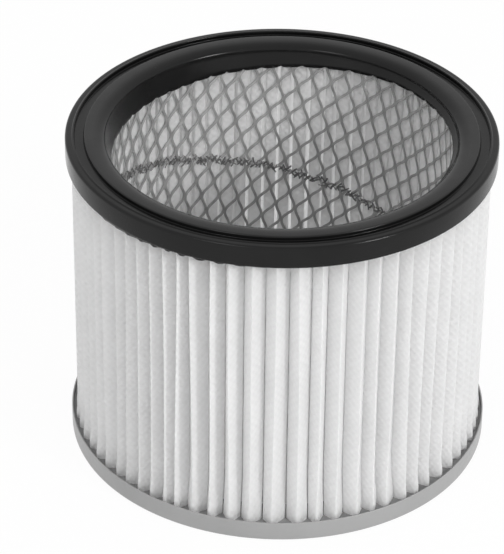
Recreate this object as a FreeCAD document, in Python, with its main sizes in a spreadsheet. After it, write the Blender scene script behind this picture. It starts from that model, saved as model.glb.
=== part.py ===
import FreeCAD, Part
import math
import os

import Sketcher

# A round pleated cartridge filter for an ash or wet-and-dry vacuum cleaner, in millimetres.
# It stands on its closed end, +Z up, with its origin at the middle of the end cap's underside.
# One strip of pleated cloth stands round a spiral-wound tube of expanded metal. A soft seal ring is cast
# round their upper ends, and potting holds their lower ends in a pressed pan.

DIMENSIONS = (
    ("overall_height", "128.5", "underside of the end cap to the top of the seal ring"),
    ("tube_bore_radius", "63.6", "inside of the support tube, at its corners"),
    ("tube_wall", "0.6", "thickness of the expanded metal"),
    ("tube_columns", "30", "columns of openings round the tube, an even number"),
    ("opening_pitch", "43", "height of one cell of the expanded metal"),
    ("winding_drop", "2", "cells by which a row of openings drops in one turn"),
    ("strand_width", "2.4", "width of a strand between two openings"),
    ("end_strand", "1.5", "closed strand that shows at each end of the tube"),
    ("pleat_count", "70", "folds round the cartridge"),
    ("pleat_depth", "14.2", "radial depth of the pleats"),
    ("cloth_thickness", "0.7", "thickness of the filter cloth"),
    ("crease_width", "1.2", "flat across the back of a fold"),
    ("media_clearance", "0.15", "gap between the tube and the inner folds"),
    ("crest_cover", "1.45", "seal ring outside the outer folds"),
    ("skirt_height", "9", "outer wall of the seal ring, down to its cast underside"),
    ("web_thickness", "4.6", "seal ring above the ends of the pleats"),
    ("lip_width", "3.3", "outer lip of the seal ring"),
    ("groove_width", "3.7", "groove between the lip and the sealing land, at its top"),
    ("groove_depth", "1.6", "depth of that groove"),
    ("groove_draft", "0.4", "inward slope of each groove side"),
    ("edge_break", "0.5", "bevel on the cast edges"),
    ("bore_step", "1.5", "seal ring's bore beyond the tube's bore, in radius"),
    ("bore_length", "3", "straight part of the bore, from the top"),
    ("collar_wall", "0.7", "cast collar inside the tube, at the middle of its facets"),
    ("pan_height", "8", "rim of the end cap"),
    ("pan_sheet", "0.5", "sheet metal of the end cap"),
    ("pan_bend", "1.2", "bevelled bend between the pan's floor and rim"),
    ("pan_gap", "0.9", "gap between the outer folds and the rim"),
    ("potting_depth", "4.5", "potting on the pan's floor, under the pleats"),
    ("potting_overlap", "2.5", "potting inside the tube's bore, in radius"),
)

doc = FreeCAD.newDocument("cartridge_filter")
sheet = doc.addObject("Spreadsheet::Sheet", "Dimensions")
for row, (alias, number, meaning) in enumerate(DIMENSIONS, start=1):
    sheet.set(f"A{row}", meaning)
    sheet.set(f"B{row}", number)
    sheet.setAlias(f"B{row}", alias)
doc.recompute()

# Sizes that follow from the driving dimensions, as expressions for the features.
TUBE_BORE = "Dimensions.tube_bore_radius"
TUBE_OUTER = f"({TUBE_BORE} + Dimensions.tube_wall)"
PLEAT_INNER = f"({TUBE_OUTER} + Dimensions.media_clearance)"
PLEAT_OUTER = f"({PLEAT_INNER} + Dimensions.pleat_depth)"
MEDIA_FOOT = "(Dimensions.pan_sheet + Dimensions.potting_depth)"
MEDIA_TOP = "(Dimensions.overall_height - Dimensions.web_thickness)"
RING_TOP = "Dimensions.overall_height"
RING_FOOT = f"({RING_TOP} - Dimensions.skirt_height)"
RING_OUTER = f"({PLEAT_OUTER} + Dimensions.crest_cover)"
RING_BORE = f"({TUBE_BORE} + Dimensions.bore_step)"
LIP_INNER = f"({RING_OUTER} - Dimensions.lip_width)"
LAND_OUTER = f"({LIP_INNER} - Dimensions.groove_width)"
TUBE_FLATS = f"({TUBE_BORE} * cos(180deg / Dimensions.tube_columns))"
COLLAR_BORE = f"({TUBE_FLATS} - Dimensions.collar_wall)"
PAN_INNER = f"({PLEAT_OUTER} + Dimensions.pan_gap)"
PAN_OUTER = f"({PAN_INNER} + Dimensions.pan_sheet)"
PAN_INNER_BEND = "(Dimensions.pan_bend - Dimensions.pan_sheet * (2 - sqrt(2)))"
POTTING_INNER = f"({TUBE_BORE} - Dimensions.potting_overlap)"


def value(expression):
    """The number that an expression stands for."""
    return float(sheet.evalExpression(expression))


def size(alias):
    """The number in one cell of the sheet."""
    return float(sheet.get(alias))


def new_sketch(body, name, plane):
    sketch = body.newObject("Sketcher::SketchObject", name)
    support = next(item for item in body.Origin.OriginFeatures if item.Role == plane)
    sketch.AttachmentSupport = (support, [""])
    sketch.MapMode = "FlatFace"
    return sketch


def bind(sketch, name, constraint, expression):
    """Add a constraint whose value follows an expression."""
    index = sketch.addConstraint(constraint)
    sketch.renameConstraint(index, name)
    sketch.setExpression(f"Constraints.{name}", expression)


def draw_outline(sketch, points):
    """Join points by a closed run of lines: line number i starts at point number i."""
    for start, end in zip(points, points[1:] + points[:1]):
        sketch.addGeometry(Part.LineSegment(start, end))
    for line in range(len(points)):
        following = (line + 1) % len(points)
        sketch.addConstraint(Sketcher.Constraint("Coincident", line, 2, following, 1))


def turned_body(name, corners):
    """A body turned about the Z axis from a closed section, each corner a radius and a height."""
    body = doc.addObject("PartDesign::Body", name)
    sketch = new_sketch(body, f"{name}_section", "XZ_Plane")
    points = [FreeCAD.Vector(value(radius), value(height), 0) for radius, height in corners]
    draw_outline(sketch, points)
    for corner, (radius, height) in enumerate(corners):
        if radius == "0":
            sketch.addConstraint(Sketcher.Constraint("PointOnObject", corner, 1, -2))
        else:
            across = Sketcher.Constraint("DistanceX", -1, 1, corner, 1, points[corner].x)
            bind(sketch, f"radius_{corner}", across, radius)
        if height == "0":
            sketch.addConstraint(Sketcher.Constraint("PointOnObject", corner, 1, -1))
        else:
            upward = Sketcher.Constraint("DistanceY", -1, 1, corner, 1, points[corner].y)
            bind(sketch, f"height_{corner}", upward, height)
    turn = body.newObject("PartDesign::Revolution", f"{name}_turn")
    turn.Profile = sketch
    turn.ReferenceAxis = (sketch, ["V_Axis"])
    turn.Angle = 360
    body.Tip = turn
    return body


def cut(name, base, tool):
    result = doc.addObject("Part::Cut", name)
    result.Base = base
    result.Tool = tool
    return result


def media_prism(name, circumradius):
    """A prism as high as the pleats, with a corner at each column of the tube's openings."""
    prism = doc.addObject("Part::Prism", name)
    prism.setExpression("Polygon", "Dimensions.tube_columns")
    prism.setExpression("Circumradius", circumradius)
    prism.setExpression("Height", f"{MEDIA_TOP} - {MEDIA_FOOT}")
    prism.setExpression("Placement.Base.z", MEDIA_FOOT)
    return prism


def make_media():
    """The pleated cloth: half a pleat from a crest to a valley, mirrored and repeated round the axis."""
    body = doc.addObject("PartDesign::Body", "pleated_media")
    sketch = new_sketch(body, "half_pleat", "XY_Plane")
    sketch.setExpression("AttachmentOffset.Base.z", MEDIA_FOOT)
    half_pitch = math.pi / size("pleat_count")
    crest, valley = value(PLEAT_OUTER), value(PLEAT_INNER)
    half_crease, cloth = size("crease_width") / 2, size("cloth_thickness")
    along = FreeCAD.Vector(math.cos(half_pitch), math.sin(half_pitch), 0)
    across = FreeCAD.Vector(-along.y, along.x, 0)
    crest_middle = FreeCAD.Vector(crest, 0, 0)
    crest_edge = FreeCAD.Vector(crest, half_crease, 0)
    valley_back = along * (valley + 2 * cloth)
    valley_middle = along * valley
    valley_edge = valley_middle - across * half_crease
    crest_back = FreeCAD.Vector(crest - 2 * cloth, 0, 0)
    points = [crest_middle, crest_edge, valley_back, valley_middle, valley_edge, crest_back]
    draw_outline(sketch, points)
    crest_flat, outer_flank, valley_cut, valley_flat, inner_flank, crest_cut = range(len(points))
    sketch.addConstraint(Sketcher.Constraint("Vertical", crest_flat))
    sketch.addConstraint(Sketcher.Constraint("PointOnObject", crest_flat, 1, -1))
    sketch.addConstraint(Sketcher.Constraint("PointOnObject", crest_cut, 1, -1))
    sketch.addConstraint(Sketcher.Constraint("PointOnObject", -1, 1, valley_cut))
    sketch.addConstraint(Sketcher.Constraint("Perpendicular", valley_cut, valley_flat))
    sketch.addConstraint(Sketcher.Constraint("Parallel", outer_flank, inner_flank))
    bind(sketch, "crest", Sketcher.Constraint("DistanceX", -1, 1, crest_flat, 1, crest), PLEAT_OUTER)
    bind(sketch, "valley", Sketcher.Constraint("Distance", -1, 1, valley_cut, 2, valley), PLEAT_INNER)
    half = "Dimensions.crease_width / 2"
    bind(sketch, "crest_crease", Sketcher.Constraint("Distance", crest_flat, half_crease), half)
    bind(sketch, "valley_crease", Sketcher.Constraint("Distance", valley_flat, half_crease), half)
    thickness = Sketcher.Constraint("Distance", crest_cut, 1, outer_flank, cloth)
    bind(sketch, "cloth", thickness, "Dimensions.cloth_thickness")
    turn = Sketcher.Constraint("Angle", -1, 1, valley_cut, 2, half_pitch)
    bind(sketch, "half_pitch", turn, "180deg / Dimensions.pleat_count")
    pad = body.newObject("PartDesign::Pad", "half_pleat_pad")
    pad.Profile = sketch
    pad.setExpression("Length", f"{MEDIA_TOP} - {MEDIA_FOOT}")
    pleats = body.newObject("PartDesign::MultiTransform", "pleats")
    pleats.Originals = [pad]
    mirror = body.newObject("PartDesign::Mirrored", "whole_pleat")
    mirror.MirrorPlane = (sketch, ["H_Axis"])
    ring = body.newObject("PartDesign::PolarPattern", "pleat_ring")
    ring.Axis = (sketch, ["N_Axis"])
    ring.Angle = 360
    ring.setExpression("Occurrences", "Dimensions.pleat_count")
    pleats.Transformations = [mirror, ring]
    body.Tip = pleats
    return body


def make_openings():
    """Diamond cutters for the tube, each centred on one of its corners.

    The openings of neighbouring columns are staggered by half a cell, and each column stands a little
    lower than the one before it, so that the rows wind down round the tube as in a spiral-wound strip.
    """
    columns = int(size("tube_columns"))
    turn = 2 * math.pi / columns
    outer, pitch, strand = value(TUBE_OUTER), size("opening_pitch"), size("strand_width")
    reach = outer * math.sin(turn)
    drop = size("winding_drop") * pitch / columns
    cell_side = (math.hypot(reach, pitch / 2 - drop) + math.hypot(reach, pitch / 2 + drop)) / 2
    shrink = 1 - strand * cell_side / (reach * pitch)
    lowest = value(MEDIA_FOOT) + size("end_strand")
    highest = value(RING_FOOT) - size("end_strand")
    inside = size("tube_bore_radius") * math.cos(turn) - strand
    up = FreeCAD.Vector(0, 0, 1)
    half_height = up * (pitch / 2 * shrink)
    cutters = []
    for column in range(columns):
        out = FreeCAD.Vector(math.cos(column * turn), math.sin(column * turn), 0)
        side = FreeCAD.Vector(-out.y, out.x, 0)
        half_width = (side * reach - up * drop) * shrink
        middle = lowest + (column % 2) * pitch / 2 - column * drop
        while middle - half_height.z < highest - strand:
            if middle + half_height.z > lowest + strand:
                centre = out * inside + up * middle
                corners = [centre + half_width, centre + half_height, centre - half_width, centre - half_height]
                face = Part.Face(Part.makePolygon(corners + corners[:1]))
                cutters.append(face.extrude(out * (outer + strand - inside)))
            middle += pitch
    zone = Part.makeCylinder(outer + 2 * strand, highest - lowest, up * lowest)
    openings = doc.addObject("Part::Feature", "tube_openings")
    openings.Shape = Part.makeCompound(cutters).common(zone)
    openings.Placement = FreeCAD.Placement()
    return openings


def make_ring(media, tube_blank):
    """The seal ring: cast to its section round the ends of the pleats and of the tube."""
    section = turned_body("ring_section", [
        (f"{RING_BORE} + Dimensions.edge_break", RING_TOP),
        (LAND_OUTER, RING_TOP),
        (f"{LAND_OUTER} + Dimensions.groove_draft", f"{RING_TOP} - Dimensions.groove_depth"),
        (f"{LIP_INNER} - Dimensions.groove_draft", f"{RING_TOP} - Dimensions.groove_depth"),
        (LIP_INNER, RING_TOP),
        (f"{RING_OUTER} - Dimensions.edge_break", RING_TOP),
        (RING_OUTER, f"{RING_TOP} - Dimensions.edge_break"),
        (RING_OUTER, RING_FOOT),
        (COLLAR_BORE, RING_FOOT),
        (COLLAR_BORE, MEDIA_TOP),
        (RING_BORE, f"{RING_TOP} - Dimensions.bore_length"),
        (RING_BORE, f"{RING_TOP} - Dimensions.edge_break"),
    ])
    around_tube = cut("ring_around_tube", section, tube_blank)
    return cut("seal_ring", around_tube, media)


def make_end_cap():
    """The pressed pan, of one thickness all over."""
    return turned_body("end_cap", [
        ("0", "0"),
        (f"{PAN_OUTER} - Dimensions.pan_bend", "0"),
        (PAN_OUTER, "Dimensions.pan_bend"),
        (PAN_OUTER, "Dimensions.pan_height"),
        (PAN_INNER, "Dimensions.pan_height"),
        (PAN_INNER, f"Dimensions.pan_sheet + {PAN_INNER_BEND}"),
        (f"{PAN_INNER} - {PAN_INNER_BEND}", "Dimensions.pan_sheet"),
        ("0", "Dimensions.pan_sheet"),
    ])


def make_potting():
    """The potting: it fills the pan's corner and carries the feet of the pleats and the tube."""
    return turned_body("bottom_potting", [
        (POTTING_INNER, "Dimensions.pan_sheet"),
        (f"{PAN_INNER} - {PAN_INNER_BEND}", "Dimensions.pan_sheet"),
        (PAN_INNER, f"Dimensions.pan_sheet + {PAN_INNER_BEND}"),
        (PAN_INNER, MEDIA_FOOT),
        (POTTING_INNER, MEDIA_FOOT),
    ])


media = make_media()
tube_outside = media_prism("tube_outside", TUBE_OUTER)
tube_inside = media_prism("tube_inside", TUBE_BORE)
tube_blank = cut("tube_blank", tube_outside, tube_inside)
tube = cut("support_mesh", tube_blank, make_openings())
sub_parts = [media, tube, make_ring(media, tube_blank), make_end_cap(), make_potting()]
doc.recompute()

for item in doc.Objects:
    if "Invalid" in item.State or "Error" in item.State:
        raise RuntimeError(f"{item.Label} failed to build")
for part in sub_parts:
    if part.Shape.isNull() or not part.Shape.isValid():
        raise RuntimeError(f"{part.Label} has no valid shape")

os.makedirs("parts", exist_ok=True)
for part in sub_parts:
    part.Shape.exportStep(f"parts/{part.Label}.step")
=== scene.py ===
"""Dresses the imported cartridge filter: seal ring, folded cloth, mesh tube, pan and adhesive."""
import math

import bmesh
import bpy
import numpy as np
from mathutils import Matrix, Vector


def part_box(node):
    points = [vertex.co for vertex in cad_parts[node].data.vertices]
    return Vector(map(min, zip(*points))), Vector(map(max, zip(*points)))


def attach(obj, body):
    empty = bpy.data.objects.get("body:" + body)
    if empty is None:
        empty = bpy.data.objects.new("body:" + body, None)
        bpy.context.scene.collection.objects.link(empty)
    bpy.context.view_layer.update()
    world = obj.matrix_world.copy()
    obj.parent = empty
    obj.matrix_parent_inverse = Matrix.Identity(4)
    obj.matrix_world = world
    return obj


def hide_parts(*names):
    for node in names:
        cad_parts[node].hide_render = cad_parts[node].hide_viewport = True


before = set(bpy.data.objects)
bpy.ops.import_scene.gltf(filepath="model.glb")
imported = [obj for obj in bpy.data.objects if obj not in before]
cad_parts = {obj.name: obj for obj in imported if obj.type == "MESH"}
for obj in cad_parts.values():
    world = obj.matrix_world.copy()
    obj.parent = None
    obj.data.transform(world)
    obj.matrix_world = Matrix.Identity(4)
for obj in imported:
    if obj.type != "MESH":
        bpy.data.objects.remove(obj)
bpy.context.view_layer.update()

MM = 0.001
TURN = 2 * math.pi
rng = np.random.default_rng(70)

# Sizes read from the imported CAD parts, in metres
ring_low, ring_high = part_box("seal_ring")
media_low, media_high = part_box("pleated_media")
tube_low, tube_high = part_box("support_mesh")
_, cap_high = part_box("end_cap")
_, potting_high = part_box("bottom_potting")
RING_OUTER, TOP, RING_LOW = ring_high.x, ring_high.z, ring_low.z
MEDIA_OUTER, MEDIA_LOW = media_high.x, media_low.z
TUBE_OUTER = tube_high.x
CAP_OUTER, CAP_TOP = cap_high.x, cap_high.z
POTTING_OUTER, POTTING_TOP = potting_high.x, potting_high.z

# Outlines: points round the axis, points on a fillet, and how much of an edge a fillet may take
TURNED_SEGMENTS = 480
FILLET_STEPS = 5
FILLET_SHARE = 0.48
SHARP_ANGLE = math.radians(40)
WELD_DISTANCE = 0.001 * MM

# Slow ripple: waves round the axis, how many more each next one has, and its highest value
FIRST_WAVES, MORE_WAVES, RIPPLE_PEAK = 3, 4, 1.8

# Seal ring: radii, then depths below the top
LIP_INNER, LAND_OUTER, LAND_INNER = 76.7 * MM, 73.0 * MM, 68.4 * MM
BORE, COLLAR_BORE = 65.1 * MM, 63.0 * MM
GROOVE_DEPTH, LAND_DROP, BORE_DEPTH = 1.6 * MM, 1.2 * MM, 3.0 * MM
GROOVE_TAPER, BORE_LEAD, BORE_TAPER = 0.2 * MM, 0.2 * MM, 0.1 * MM

# Bead on the lip's inner edge
BEAD_HEIGHT, BEAD_DROP = 0.35 * MM, 0.1 * MM
BEAD_FOOT, BEAD_CROWN = 0.9 * MM, 0.5 * MM

# Collar of cast inside the bore, which takes the ends of the mesh tube
COLLAR_DEPTH, COLLAR_TILT, COLLAR_WAVE = 8.5 * MM, 3.3 * MM, 0.3 * MM
COLLAR_SCALLOPS, COLLAR_NOTCH = 50, 0.9 * MM
SCALLOP_DRIFT, DRIFT_WAVES = 2, 3
COLLAR_EDGE, COLLAR_TAPER = 1.3 * MM, 0.1 * MM
NOTCH_INNER, NOTCH_OUTER = 0.3 * MM, 1.2 * MM
COLLAR_SEAT = 0.5 * MM
COLLAR_PHASES = rng.uniform(0, TURN, 4)

# Cast that ran out under the ring, most of it at the front left
FOOT_LIFT, SKIRT_DROP = 0.25 * MM, 0.1 * MM
SKIRT_INNER, SKIRT_MIDDLE, SKIRT_OUTER = 2.2 * MM, 1.25 * MM, 0.9 * MM
OVERFLOW_DEPTH, OVERFLOW_NOTCH = 1.9 * MM, math.radians(1.3)
OVERFLOW_ANGLE, OVERFLOW_SPREAD = math.radians(-128), math.radians(24)

# Painted light on the cast by radius, from the bore out: the land is drawn lighter as a painted
# sheen, and the bore side, groove and lip are drawn darker as painted shade
INNERMOST_PAINTED_TONE, OUTERMOST_PAINTED_TONE = 0.010, 0.011
RUBBER_PAINTED_LIGHT_TONES = [
    (67.3 * MM, 0.007),
    (69.8 * MM, 0.018),
    (72.7 * MM, 0.018),
    (73.3 * MM, 0.004),
    (79.2 * MM, 0.006),
]

# Places of the pleats
PLEAT_COUNT = 70
RIDGE_SAMPLES = 4001
FRONT_RIDGE = math.radians(-91.1)
CROWDED_ANGLE, CROWDED_SHARE = math.radians(-124), -0.18
SPREAD_ANGLE, SPREAD_SHARE = math.radians(-90), 0.30
UNEVEN_WIDTH = math.radians(9)
RIDGE_JITTER, VALLEY_JITTER = math.radians(0.5), math.radians(0.6)
LEAN_SHIFT, SLANT_JITTER = math.radians(0.5), math.radians(0.4)
SWAY, SWAY_WAVE = math.radians(0.22), 2.4

# Folds of the cloth
CLOTH_THICKNESS = 0.6 * MM
CREST_FILLET, SHOULDER_FILLET, INNER_FILLET = 0.6 * MM, 0.7 * MM, 1.2 * MM
CREST_JITTER, SHOULDER_JITTER = 0.6 * MM, 0.5 * MM
TOUCH_GAP = 0.06 * MM
PLEAT_INNER, INNER_SHARE = 64.6 * MM, 0.9
SHOULDER_DEPTH, FOOT_SHOULDER, SHOULDER_RISE = 6.4 * MM, 4.2 * MM, 9.0 * MM
FOOT_FILLET, FOOT_SWELL, FOOT_HEIGHT = 0.9 * MM, 0.9 * MM, 4.0 * MM
CLOTH_TOP = TOP - 5.0 * MM
FOLD_STEPS, FOOT_ROWS, CLOTH_ROWS = 4, 8, 14
DOT_SPACING = 1.65 * MM

# Wound expanded metal, laid out flat as arc length and height
SEAM_HEIGHT, SEAM_SLOPE = 73.9 * MM, math.radians(14.45)
ALONG = np.array((math.cos(SEAM_SLOPE), -math.sin(SEAM_SLOPE)))
ACROSS = np.array((math.sin(SEAM_SLOPE), math.cos(SEAM_SLOPE)))
LONG_WAY, SHORT_WAY = 13.26 * MM, 7.95 * MM
STRIP_ROWS, STRIP_LAP = 15, 0.5 * MM
STRAND_WIDTH, STRAND_THICKNESS = 1.0 * MM, 0.4 * MM
STRAND_TWIST, STRAND_STEPS = math.radians(10), 20
STRAND_CORNERS = ((-1, -1), (1, -1), (1, 1), (-1, 1))
BOND_SHARE = 0.33
TUBE_MIDDLE = TUBE_OUTER - 0.45 * MM
STRANDS_LOW = tube_low.z + 0.5 * MM

# Knots of the lock seam: half length, bow, rise and shift, then depth, all in mm
SEAM_STEP, SEAM_STRAND = 2.2 * MM, 0.48 * MM
SEAM_TURNS = [math.radians(turn) for turn in (62, 48, -38)]
KNOT_LEAST, KNOT_MOST = (1.0, -0.6, -1.1, -0.4), (2.1, 0.6, 1.1, 0.4)
KNOT_DEPTH = (-0.3, 0.1)
KNOT_TURN, KNOT_TWIST = 0.35, 0.7
KNOT_POINTS = 5
# The seam's strands get a darker copy of the zinc: painted shade of the tangled knots
SEAM_PAINTED_SHADE = 0.45

# Pan and adhesive
SHEET, SHEET_BEND, SHEET_EDGE = 0.5 * MM, 1.4 * MM, 0.15 * MM
ADHESIVE_SEAT = 0.55 * MM
ADHESIVE_WIDTH, ADHESIVE_WAVE = 18.3 * MM, 0.3 * MM

# Floor and light: each lamp's place, size and power
FLOOR_REACH, FLOOR_DROP, FLOOR_TONE = 4.0, 0.1 * MM, 0.86
FLOOR_WHITE = 0.95
WHITE = (1, 1, 1, 1)
WORLD_STRENGTH = 0.81
LAMPS = {
    "key": ((1.40, -1.22, 1.0), 0.42, 18),
    "fill": ((-0.90, -1.30, 1.70), 0.6, 6),
}
LAMP_TARGET = (0, 0, 0.06)


# Shared helpers
def link_piece(name, points, faces, material, node):
    """Make a mesh piece that rides on the body and stands for a CAD node."""
    mesh = bpy.data.meshes.new(name)
    mesh.from_pydata(points, [], faces)
    mesh.validate()
    piece = bpy.data.objects.new(name, mesh)
    bpy.context.scene.collection.objects.link(piece)
    mesh.materials.append(material)
    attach(piece, "root")
    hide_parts(node)
    return piece


def smooth(piece):
    """Shade smoothly, but keep the sharp edges."""
    piece.data.shade_smooth()
    piece.data.set_sharp_from_angle(angle=SHARP_ANGLE)


def on_edge(here, corner, fillet):
    """Where a fillet begins on the edge from here to the next corner."""
    edge = np.array(corner[:2]) - here
    length = np.linalg.norm(edge)
    return here + edge / length * min(fillet, FILLET_SHARE * length)


def rounded(corners, steps=FILLET_STEPS):
    """Replace each corner (x, y, fillet) of a closed outline by a small curve."""
    points = []
    for index, (x, y, fillet) in enumerate(corners):
        here = np.array((x, y))
        if not fillet:
            points.append(here)
            continue
        start = on_edge(here, corners[index - 1], fillet)
        end = on_edge(here, corners[(index + 1) % len(corners)], fillet)
        for step in range(steps + 1):
            t = step / steps
            points.append((1 - t) ** 2 * start + 2 * t * (1 - t) * here + t * t * end)
    return np.array(points)


def turned(outline_at, closed=True):
    """Sweep an outline (radius, height) round the axis; it may change with the angle."""
    points, faces = [], []
    for index in range(TURNED_SEGMENTS):
        angle = TURN * index / TURNED_SEGMENTS
        outline = outline_at(angle)
        for r, z in outline:
            points.append((r * math.cos(angle), r * math.sin(angle), z))
    count = len(outline)
    for index in range(TURNED_SEGMENTS):
        here, there = index * count, (index + 1) % TURNED_SEGMENTS * count
        for k in range(count if closed else count - 1):
            m = (k + 1) % count
            faces.append((here + k, there + k, there + m, here + m))
    return points, faces


def angle_from(centre, angle):
    """The angle measured from a centre, between minus and plus half a turn."""
    return (angle - centre + math.pi) % TURN - math.pi


def bump_at(angle, centre, width):
    """A smooth bell round one angle."""
    return np.exp(-0.5 * (angle_from(centre, angle) / width) ** 2)


def wavy(phases, angle):
    """A slow seeded ripple round the axis, between about -1 and 1."""
    waves = (np.sin((FIRST_WAVES + MORE_WAVES * n) * angle + phase) / (1 + n)
             for n, phase in enumerate(phases))
    return sum(waves) / RIPPLE_PEAK


def next_round(angles):
    """Each angle's follower round the axis."""
    return np.append(angles[1:], angles[0] + TURN)


# Nodes of the materials
def new_material(name):
    """A material with its nodes, its links and its shader."""
    material = bpy.data.materials.new(name)
    material.use_nodes = True
    nodes, links = material.node_tree.nodes, material.node_tree.links
    return material, nodes, links, nodes["Principled BSDF"]


def feed(links, given, socket):
    """Give a socket a number or a pattern."""
    if isinstance(given, (int, float)):
        socket.default_value = given
    else:
        links.new(given, socket)


def coordinates(nodes, kind="Object"):
    """The piece's own coordinates, or those of another kind."""
    return nodes.new("ShaderNodeTexCoord").outputs[kind]


def noise(nodes, links, where, scale, detail):
    """A noise pattern in the given coordinates."""
    texture = nodes.new("ShaderNodeTexNoise")
    texture.inputs["Scale"].default_value = scale
    texture.inputs["Detail"].default_value = detail
    links.new(where, texture.inputs["Vector"])
    return texture.outputs["Fac"]


def between(nodes, links, factor, low, high, start=0.3, end=0.7):
    """Map a pattern to a range of numbers."""
    ranged = nodes.new("ShaderNodeMapRange")
    ranged.inputs["From Min"].default_value = start
    ranged.inputs["From Max"].default_value = end
    ranged.inputs["To Min"].default_value = low
    ranged.inputs["To Max"].default_value = high
    links.new(factor, ranged.inputs["Value"])
    return ranged.outputs["Result"]


def shades(nodes, links, factor, dark, light, start=0.3, end=0.7):
    """Map a pattern to the greys between two tones."""
    ramp = nodes.new("ShaderNodeValToRGB")
    ends = ramp.color_ramp.elements
    ends[0].position, ends[0].color = start, (dark, dark, dark, 1)
    ends[1].position, ends[1].color = end, (light, light, light, 1)
    links.new(factor, ramp.inputs["Fac"])
    return ramp.outputs["Color"]


def maths(nodes, links, operation, *given):
    """One arithmetic step on patterns or numbers."""
    node = nodes.new("ShaderNodeMath")
    node.operation = operation
    for value, socket in zip(given, node.inputs):
        feed(links, value, socket)
    return node.outputs["Value"]


def raised(nodes, links, height, distance, strength, below=None):
    """Turn a pattern into surface relief, on top of another relief if one is given."""
    bump = nodes.new("ShaderNodeBump")
    bump.inputs["Strength"].default_value = strength
    bump.inputs["Distance"].default_value = distance
    links.new(height, bump.inputs["Height"])
    if below is not None:
        links.new(below, bump.inputs["Normal"])
    return bump.outputs["Normal"]


def radius_of(nodes, links, where):
    """The distance from the part's axis."""
    flat = nodes.new("ShaderNodeVectorMath")
    flat.operation = "MULTIPLY"
    flat.inputs[1].default_value = (1, 1, 0)
    links.new(where, flat.inputs[0])
    length = nodes.new("ShaderNodeVectorMath")
    length.operation = "LENGTH"
    links.new(flat.outputs["Vector"], length.inputs[0])
    return length.outputs["Value"]


def mix_surface(nodes, links, factor, first, second, output="Material Output"):
    """Show a mix of two shaders."""
    mix = nodes.new("ShaderNodeMixShader")
    feed(links, factor, mix.inputs["Fac"])
    links.new(first, mix.inputs[1])
    links.new(second, mix.inputs[2])
    links.new(mix.outputs["Shader"], nodes[output].inputs["Surface"])


# Materials
def rubber_material():
    """Dull black cast polyurethane with painted light by radius (a lighter land as painted sheen,
    a darker bore side, groove and lip as painted shade), faint clouds and a fine grain.
    """
    material, nodes, links, shader = new_material("cast_rubber")
    where = coordinates(nodes)
    clouds = noise(nodes, links, where, scale=45, detail=4)
    grain = noise(nodes, links, where, scale=1900, detail=2)
    radius = radius_of(nodes, links, where)
    zone = between(nodes, links, radius, low=0, high=1, start=COLLAR_BORE, end=RING_OUTER)
    # Painted light: tones by radius stand in for sheen on the land and for shade in the bore,
    # groove and lip
    painted_light_bands = shades(nodes, links, zone, INNERMOST_PAINTED_TONE, OUTERMOST_PAINTED_TONE, start=0.0, end=1.0)
    for stop_radius, tone in RUBBER_PAINTED_LIGHT_TONES:
        share = (stop_radius - COLLAR_BORE) / (RING_OUTER - COLLAR_BORE)
        painted_light_bands.node.color_ramp.elements.new(share).color = (tone, tone, tone, 1)
    cloudy = nodes.new("ShaderNodeMix")
    cloudy.data_type, cloudy.blend_type = "RGBA", "MULTIPLY"
    cloudy.inputs["Factor"].default_value = 1
    links.new(painted_light_bands, cloudy.inputs["A"])
    links.new(shades(nodes, links, clouds, dark=0.7, light=1.0), cloudy.inputs["B"])
    links.new(cloudy.outputs["Result"], shader.inputs["Base Color"])
    links.new(between(nodes, links, clouds, low=0.13, high=0.24), shader.inputs["Roughness"])
    shader.inputs["Specular IOR Level"].default_value = 0.18
    soft = raised(nodes, links, clouds, distance=0.4 * MM, strength=0.5)
    relief = raised(nodes, links, grain, distance=0.04 * MM, strength=0.6, below=soft)
    links.new(relief, shader.inputs["Normal"])
    return material


def cloth_material():
    """White nonwoven cloth with a fine embossed lattice of dots, which lets light through."""
    material, nodes, links, shader = new_material("filter_cloth")
    where = coordinates(nodes, "UV")
    split = nodes.new("ShaderNodeSeparateXYZ")
    links.new(where, split.inputs["Vector"])
    waves = []
    for axis in ("X", "Y"):
        angle = maths(nodes, links, "MULTIPLY", split.outputs[axis], math.pi / DOT_SPACING)
        waves.append(maths(nodes, links, "SINE", angle))
    dots = maths(nodes, links, "MULTIPLY", *waves)
    fibres = noise(nodes, links, where, scale=900, detail=5)
    mottled = noise(nodes, links, where, scale=60, detail=4)
    faint_dots = maths(nodes, links, "MULTIPLY", dots, 0.2)
    pattern = maths(nodes, links, "ADD", mottled, faint_dots)
    tone = shades(nodes, links, pattern, dark=0.89, light=0.98, start=0.25, end=0.75)
    links.new(tone, shader.inputs["Base Color"])
    links.new(between(nodes, links, fibres, low=0.75, high=0.95), shader.inputs["Roughness"])
    dimples = raised(nodes, links, dots, distance=0.14 * MM, strength=0.65)
    relief = raised(nodes, links, fibres, distance=0.12 * MM, strength=0.7, below=dimples)
    links.new(relief, shader.inputs["Normal"])
    glow = nodes.new("ShaderNodeBsdfTranslucent")
    glow.inputs["Color"].default_value = (0.97, 0.97, 0.97, 1)
    links.new(relief, glow.inputs["Normal"])
    glow_share = 0.50
    mix_surface(nodes, links, glow_share, shader.outputs["BSDF"], glow.outputs["BSDF"])
    return material


def mesh_material(brightness=1.0):
    """Dull zinc-plated steel strands with small blotches; a brightness below one gives a darker
    copy, drawn as painted shade.
    """
    material, nodes, links, shader = new_material("zinc_strands")
    blotches = noise(nodes, links, coordinates(nodes), scale=300, detail=4)
    tone = shades(nodes, links, blotches, dark=0.32 * brightness, light=0.45 * brightness)
    links.new(tone, shader.inputs["Base Color"])
    links.new(between(nodes, links, blotches, low=0.35, high=0.6), shader.inputs["Roughness"])
    shader.inputs["Metallic"].default_value = 0.35
    relief = raised(nodes, links, blotches, distance=0.08 * MM, strength=0.6)
    links.new(relief, shader.inputs["Normal"])
    return material


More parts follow.
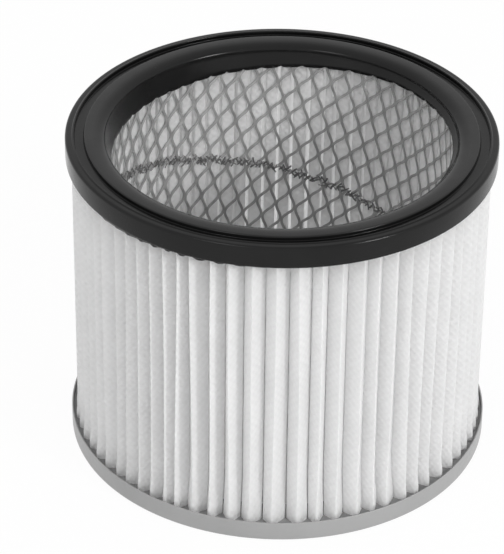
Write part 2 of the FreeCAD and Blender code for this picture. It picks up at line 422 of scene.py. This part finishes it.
def pan_material():
    """Satin grey coated sheet with faint clouds and a fine uneven skin."""
    material, nodes, links, shader = new_material("coated_sheet")
    where = coordinates(nodes)
    clouds = noise(nodes, links, where, scale=30, detail=3)
    peel = noise(nodes, links, where, scale=700, detail=2)
    links.new(shades(nodes, links, clouds, dark=0.33, light=0.36), shader.inputs["Base Color"])
    links.new(between(nodes, links, peel, low=0.34, high=0.46), shader.inputs["Roughness"])
    shader.inputs["Metallic"].default_value = 0.25
    relief = raised(nodes, links, peel, distance=0.03 * MM, strength=0.5)
    links.new(relief, shader.inputs["Normal"])
    return material


def adhesive_material():
    """Dark dull adhesive with an uneven skin."""
    material, nodes, links, shader = new_material("dark_adhesive")
    lumps = noise(nodes, links, coordinates(nodes), scale=160, detail=4)
    links.new(shades(nodes, links, lumps, dark=0.20, light=0.28), shader.inputs["Base Color"])
    links.new(between(nodes, links, lumps, low=0.5, high=0.75), shader.inputs["Roughness"])
    relief = raised(nodes, links, lumps, distance=0.5 * MM, strength=0.7)
    links.new(relief, shader.inputs["Normal"])
    return material


# Places of the pleats
def ridge_angles():
    """Where each pleat's crest stands: crowded at the front left, spread at the front."""
    angle = np.linspace(FRONT_RIDGE, FRONT_RIDGE + TURN, RIDGE_SAMPLES)
    pitch = 1 + (CROWDED_SHARE * bump_at(angle, CROWDED_ANGLE, UNEVEN_WIDTH)
                 + SPREAD_SHARE * bump_at(angle, SPREAD_ANGLE, UNEVEN_WIDTH))
    passed = np.concatenate(([0], np.cumsum(1 / pitch[:-1])))
    ridges = np.interp(np.arange(PLEAT_COUNT) / PLEAT_COUNT * passed[-1], passed, angle)
    return ridges + RIDGE_JITTER * rng.uniform(-1, 1, PLEAT_COUNT)


RIDGES = ridge_angles()


# Seal ring
def collar_line(angle):
    """How far the tilted and wavy collar reaches below the top."""
    tilted = COLLAR_DEPTH - COLLAR_TILT * np.cos(angle)
    return tilted + COLLAR_WAVE * wavy(COLLAR_PHASES, angle)


def collar_depth(angle):
    """The collar's lower edge, with its small notches."""
    drift = SCALLOP_DRIFT * np.sin(DRIFT_WAVES * angle)
    scallop = np.abs(np.sin(COLLAR_SCALLOPS / 2 * angle + drift))
    return collar_line(angle) - COLLAR_NOTCH * (1 - scallop) ** 3


def overflow_depth(angle):
    """How far the cast ran down between the crests at the front left."""
    nearest = np.abs(angle_from(angle, RIDGES)).min()
    between_crests = 1 - math.exp(-(nearest / OVERFLOW_NOTCH) ** 2)
    return OVERFLOW_DEPTH * bump_at(angle, OVERFLOW_ANGLE, OVERFLOW_SPREAD) * between_crests


def ring_outline(angle):
    """The ring's section: lip, groove, land, bore, tilted collar and the cast that ran out."""
    notched, collar = TOP - collar_depth(angle), TOP - collar_line(angle)
    foot = RING_LOW + FOOT_LIFT
    low = foot - SKIRT_DROP - overflow_depth(angle)
    return rounded([
        (RING_OUTER, foot, 0.9 * MM),
        (RING_OUTER, TOP - BEAD_HEIGHT, 1.1 * MM),
        (LIP_INNER + BEAD_FOOT, TOP - BEAD_HEIGHT, 0.2 * MM),
        (LIP_INNER + BEAD_CROWN, TOP, 0.3 * MM),
        (LIP_INNER, TOP - BEAD_DROP, 0.5 * MM),
        (LIP_INNER - GROOVE_TAPER, TOP - GROOVE_DEPTH, 0.3 * MM),
        (LAND_OUTER + GROOVE_TAPER, TOP - GROOVE_DEPTH, 0.3 * MM),
        (LAND_OUTER, TOP, 0.6 * MM),
        (LAND_INNER, TOP, 2.2 * MM),
        (BORE + BORE_LEAD, TOP - LAND_DROP, 2.2 * MM),
        (BORE - BORE_TAPER, TOP - BORE_DEPTH, 0.8 * MM),
        (COLLAR_BORE, collar + COLLAR_EDGE, 0.6 * MM),
        (COLLAR_BORE + COLLAR_TAPER, notched, 0.2 * MM),
        (TUBE_OUTER + NOTCH_INNER, notched, 0.3 * MM),
        (TUBE_OUTER + NOTCH_OUTER, collar, 0.3 * MM),
        (RING_OUTER - SKIRT_INNER, min(collar, low), 0.3 * MM),
        (RING_OUTER - SKIRT_MIDDLE, low, 0.4 * MM),
        (RING_OUTER - SKIRT_OUTER, foot, 0.1 * MM),
    ])


def make_ring():
    """The black cast ring."""
    points, faces = turned(ring_outline)
    piece = link_piece("cast_seal_ring", points, faces, rubber_material(), "seal_ring")
    smooth(piece)


# Folded cloth
def fold_line(crests, valleys, tops, shoulders, crest_fillet):
    """The cloth's line: roof-shaped crests that touch at the shoulders, wide inner folds."""
    corners = []

    def corner(radius, angle, offset, fillet):
        corners.append((radius * math.cos(angle) - offset * math.sin(angle),
                        radius * math.sin(angle) + offset * math.cos(angle), fillet))

    for crest, valley, following, top, shoulder in zip(
            crests, valleys, next_round(crests), tops, shoulders):
        corner(top, crest, 0, crest_fillet)
        corner(shoulder, valley, -TOUCH_GAP / 2, SHOULDER_FILLET)
        corner(PLEAT_INNER, valley - INNER_SHARE * (valley - crest), 0, INNER_FILLET)
        corner(PLEAT_INNER, valley + INNER_SHARE * (following - valley), 0, INNER_FILLET)
        corner(shoulder, valley, TOUCH_GAP / 2, SHOULDER_FILLET)
    return rounded(corners, FOLD_STEPS)


def cloth_rows():
    """Heights of the mesh rows, closer to each other at the foot."""
    above_foot = CAP_TOP + 2 * FOOT_HEIGHT
    return np.concatenate((np.linspace(MEDIA_LOW, above_foot, FOOT_ROWS, endpoint=False),
                           np.linspace(above_foot, CLOTH_TOP, CLOTH_ROWS)))


def fading(z, height):
    """One up to the pan's rim, then fading out over a height."""
    return math.exp(-(max(z - CAP_TOP, 0) / height) ** 2)


def cloth_lines(rows):
    """The folded line at each row: every pleat leans and sways a little in its own way."""
    valleys = (RIDGES + next_round(RIDGES)) / 2 + LEAN_SHIFT
    valleys += VALLEY_JITTER * rng.uniform(-1, 1, PLEAT_COUNT)
    tops = MEDIA_OUTER - CLOTH_THICKNESS / 2 - CREST_JITTER * rng.uniform(0, 1, PLEAT_COUNT)
    shoulders = MEDIA_OUTER + SHOULDER_JITTER * rng.uniform(-1, 1, PLEAT_COUNT)
    phase = rng.uniform(0, TURN, PLEAT_COUNT)
    slant = SLANT_JITTER * rng.uniform(-1, 1, PLEAT_COUNT)
    lines = []
    for z in rows:
        height = 2 * z / TOP - 1
        sway = SWAY * np.sin(SWAY_WAVE * height + phase) + slant * height
        near_foot, shallow = fading(z, FOOT_HEIGHT), fading(z, SHOULDER_RISE)
        depth = SHOULDER_DEPTH + (FOOT_SHOULDER - SHOULDER_DEPTH) * shallow
        lines.append(fold_line(RIDGES + sway, valleys, tops + FOOT_SWELL * near_foot,
                               shoulders - depth, CREST_FILLET + FOOT_FILLET * near_foot))
    return lines


def make_cloth():
    """The pleated strip, closed into a ring; its flat length is that of the middle row."""
    rows = cloth_rows()
    lines = cloth_lines(rows)
    count = len(lines[0])
    points = [(x, y, z) for line, z in zip(lines, rows) for x, y in line]
    faces = []
    for row in range(len(rows) - 1):
        here, above = row * count, (row + 1) * count
        for k in range(count):
            m = (k + 1) % count
            faces.append((here + k, here + m, above + m, above + k))
    piece = link_piece("pleated_cloth", points, faces, cloth_material(), "pleated_media")
    piece.data.shade_smooth()
    middle = lines[len(lines) // 2]
    steps = np.linalg.norm(np.roll(middle, -1, axis=0) - middle, axis=1)
    add_cloth_coordinates(piece, steps, rows, count)


def add_cloth_coordinates(piece, steps, rows, count):
    """Lay the texture along the unfolded cloth, in metres."""
    along = np.concatenate(([0], np.cumsum(steps)))
    layer = piece.data.uv_layers.new(name="unfolded")
    for polygon in piece.data.polygons:
        wraps = polygon.vertices[1] % count == 0
        for corner, loop in enumerate(polygon.loop_indices):
            row, column = divmod(polygon.vertices[corner], count)
            if wraps and column == 0:
                column = count
            layer.data[loop].uv = (along[column], rows[row])


# Wound expanded metal
def tube_angle(arc):
    """The angle round the axis that an arc length on the tube stands for."""
    return math.pi / 2 - arc / TUBE_MIDDLE


def ribbon(points, faces, line, radius, width, twist):
    """Add one flat closed strand that follows points (arc length, height) on the tube."""
    tangent = np.gradient(line, axis=0)
    tangent /= np.linalg.norm(tangent, axis=1)[:, None]
    side = np.stack((-tangent[:, 1], tangent[:, 0]), axis=1)
    start, sides = len(points), len(STRAND_CORNERS)
    for place, sideways in zip(line, side):
        for across, out in STRAND_CORNERS:
            half_width, half_depth = across * width / 2, out * STRAND_THICKNESS / 2
            flat = half_width * math.cos(twist) - half_depth * math.sin(twist)
            lift = half_width * math.sin(twist) + half_depth * math.cos(twist)
            arc, z = place + sideways * flat
            r, angle = radius + lift, tube_angle(arc)
            points.append((r * math.cos(angle), r * math.sin(angle), z))
    last = start + sides * (len(line) - 1)
    for here in range(start, last, sides):
        there = here + sides
        for k in range(sides):
            m = (k + 1) % sides
            faces.append((here + k, here + m, there + m, there + k))
    faces.append(tuple(reversed(range(start, start + sides))))
    faces.append(tuple(range(last, last + sides)))


def make_tube():
    """Strands that swing across the sloping strip and meet their neighbours at the bonds."""
    strip = STRIP_ROWS * LONG_WAY / 2
    middle = np.array((0, SEAM_HEIGHT)) - ACROSS * (strip / 2 - STRIP_LAP)
    place = np.linspace(-strip / 2, strip / 2, STRIP_ROWS * STRAND_STEPS // 2 + 1)
    swing = np.cos(TURN * place / LONG_WAY)
    reach = SHORT_WAY / 4 - BOND_SHARE * STRAND_WIDTH
    points, faces = [], []
    count = int(TOP / math.sin(SEAM_SLOPE) / SHORT_WAY * 2)
    for k in range(-count, count):
        sign = 1 if k % 2 else -1
        offset = k * SHORT_WAY / 2 + sign * reach * swing
        line = middle + offset[:, None] * ALONG + place[:, None] * ACROSS
        end = TOP - collar_depth(tube_angle(line[:, 0])) + COLLAR_SEAT
        inside = (line[:, 1] > STRANDS_LOW) & (line[:, 1] < end)
        if inside.sum() > 2:
            ribbon(points, faces, line[inside], TUBE_MIDDLE, STRAND_WIDTH, STRAND_TWIST)
    piece = link_piece("wound_mesh_tube", points, faces, mesh_material(), "support_mesh")
    smooth(piece)


def make_seam():
    """The lock of the spiral: ends of the strip's strands, folded into each other as knots."""
    points, faces = [], []
    count = int(TOP / math.sin(SEAM_SLOPE) / SEAM_STEP)
    share = np.linspace(-1, 1, KNOT_POINTS)[:, None]
    for k in range(-count, count):
        for lay in SEAM_TURNS:
            turn = lay + rng.uniform(-KNOT_TURN, KNOT_TURN)
            half, bow, rise, shift = rng.uniform(KNOT_LEAST, KNOT_MOST) * MM
            run = math.cos(turn) * ALONG + math.sin(turn) * ACROSS
            normal = np.array((-run[1], run[0]))
            on_seam = np.array((0, SEAM_HEIGHT)) + (k * SEAM_STEP + shift) * ALONG
            middle = on_seam + rise * ACROSS
            line = middle + half * share * run + bow * (1 - share ** 2) * normal
            depth = rng.uniform(*KNOT_DEPTH) * MM
            twist = rng.uniform(-KNOT_TWIST, KNOT_TWIST)
            if line[:, 1].min() > STRANDS_LOW and line[:, 1].max() < TOP - COLLAR_DEPTH:
                ribbon(points, faces, line, TUBE_MIDDLE + depth, SEAM_STRAND, twist)
    # Painted shade: the knots get a darker copy of the zinc
    material = mesh_material(SEAM_PAINTED_SHADE)
    piece = link_piece("spiral_lock_seam", points, faces, material, "support_mesh")
    smooth(piece)


# Pan and adhesive
def make_pan():
    """The pressed sheet-metal pan."""
    outline = rounded([
        (0, 0, 0),
        (CAP_OUTER, 0, SHEET_BEND),
        (CAP_OUTER, CAP_TOP, SHEET_EDGE),
        (CAP_OUTER - SHEET, CAP_TOP, SHEET_EDGE),
        (CAP_OUTER - SHEET, SHEET, SHEET_BEND - SHEET / 2),
        (0, SHEET, 0),
    ])
    points, faces = turned(lambda angle: outline, closed=False)
    piece = link_piece("pressed_pan", points, faces, pan_material(), "end_cap")
    close_centre(piece)
    smooth(piece)


def close_centre(piece):
    """Join the points that meet on the axis."""
    work = bmesh.new()
    work.from_mesh(piece.data)
    bmesh.ops.remove_doubles(work, verts=work.verts, dist=WELD_DISTANCE)
    work.to_mesh(piece.data)
    work.free()


def make_adhesive():
    """The adhesive in the pan: it stands up at the wall and slopes down to its inner edge."""
    phases = rng.uniform(0, TURN, 4)
    wall, inner = CAP_OUTER - ADHESIVE_SEAT, POTTING_OUTER - ADHESIVE_WIDTH

    def outline(angle):
        level = POTTING_TOP + ADHESIVE_WAVE * wavy(phases, angle)
        return rounded([
            (inner, ADHESIVE_SEAT, 0),
            (wall - 1.2 * MM, ADHESIVE_SEAT, 0),
            (wall, 1.8 * MM, 0),
            (wall, level + 1.2 * MM, 0.2 * MM),
            (wall - 2.0 * MM, level + 0.8 * MM, 1.2 * MM),
            (wall - 5.0 * MM, level + 1.2 * MM, 2.0 * MM),
            (68 * MM, level + 0.8 * MM, 2.0 * MM),
            (65 * MM, level + 0.2 * MM, 1.0 * MM),
            (inner, level - 0.8 * MM, 1.2 * MM),
        ])

    points, faces = turned(outline)
    piece = link_piece("cast_adhesive", points, faces, adhesive_material(), "bottom_potting")
    smooth(piece)


# Stage, light and camera
def white_rays(nodes, links):
    """One for camera, glossy and transmission rays, which see the white background."""
    path = nodes.new("ShaderNodeLightPath").outputs
    rays = maths(nodes, links, "MAXIMUM", path["Is Camera Ray"], path["Is Glossy Ray"])
    return maths(nodes, links, "MAXIMUM", rays, path["Is Transmission Ray"])


def make_floor():
    """A pale floor that looks almost white and keeps the part's shadow."""
    mesh = bpy.data.meshes.new("floor")
    corners = ((-1, -1), (1, -1), (1, 1), (-1, 1))
    points = [(x * FLOOR_REACH, y * FLOOR_REACH, -FLOOR_DROP) for x, y in corners]
    mesh.from_pydata(points, [], [(0, 1, 2, 3)])
    floor = bpy.data.objects.new("floor", mesh)
    bpy.context.scene.collection.objects.link(floor)
    material, nodes, links, shader = new_material("white_floor")
    shader.inputs["Base Color"].default_value = (FLOOR_TONE, FLOOR_TONE, FLOOR_TONE, 1)
    shader.inputs["Roughness"].default_value = 0.9
    white = nodes.new("ShaderNodeEmission")
    share = maths(nodes, links, "MULTIPLY", white_rays(nodes, links), FLOOR_WHITE)
    mix_surface(nodes, links, share, shader.outputs["BSDF"], white.outputs["Emission"])
    mesh.materials.append(material)


def make_world():
    """Even light from all round, and a white background."""
    world = bpy.data.worlds.new("studio")
    bpy.context.scene.world = world
    world.use_nodes = True
    nodes, links = world.node_tree.nodes, world.node_tree.links
    light = nodes["Background"]
    light.inputs["Strength"].default_value = WORLD_STRENGTH
    light.inputs["Color"].default_value = WHITE
    white = nodes.new("ShaderNodeBackground")
    white.inputs["Color"].default_value = WHITE
    mix_surface(nodes, links, white_rays(nodes, links), light.outputs["Background"],
                white.outputs["Background"], output="World Output")


def make_lamp(name, place, size, power):
    """A round soft lamp that points at the part."""
    data = bpy.data.lights.new(name, "AREA")
    data.shape, data.size, data.energy = "DISK", size, power
    lamp = bpy.data.objects.new(name, data)
    lamp.location = place
    towards = Vector(LAMP_TARGET) - Vector(place)
    lamp.rotation_euler = towards.to_track_quat("-Z", "Y").to_euler()
    bpy.context.scene.collection.objects.link(lamp)


def swung(first, second, angle):
    """Turn two axes in their own plane."""
    return (math.cos(angle) * first - math.sin(angle) * second,
            math.sin(angle) * first + math.cos(angle) * second)


def make_camera():
    """The photograph's view: distance from the part's foot, elevation, pan, tilt and roll."""
    distance, elevation = 1.17923, math.radians(35.738)
    pan, tilt, roll = math.radians(-0.5257), math.radians(2.6013), math.radians(-1.05)
    image_height, focal_pixels = 554, 3008
    place = Vector((0, -distance * math.cos(elevation), distance * math.sin(elevation)))
    right, forward = Vector((1, 0, 0)), -place.normalized()
    up = right.cross(forward)
    right, forward = swung(right, forward, pan)
    up, forward = swung(up, forward, tilt)
    right, up = swung(right, up, roll)
    data = bpy.data.cameras.new("camera")
    data.sensor_width = 36
    data.lens = focal_pixels * data.sensor_width / image_height
    camera = bpy.data.objects.new("camera", data)
    turn = Matrix((right, up, -forward)).transposed().to_4x4()
    camera.matrix_world = Matrix.Translation(place) @ turn
    bpy.context.scene.collection.objects.link(camera)
    bpy.context.scene.camera = camera


make_camera()
make_ring()
make_cloth()
make_tube()
make_seam()
make_pan()
make_adhesive()
make_floor()
make_world()
for lamp_name, (lamp_place, lamp_size, lamp_power) in LAMPS.items():
    make_lamp(lamp_name, lamp_place, lamp_size, lamp_power)
bpy.context.scene.view_settings.view_transform = "Standard"
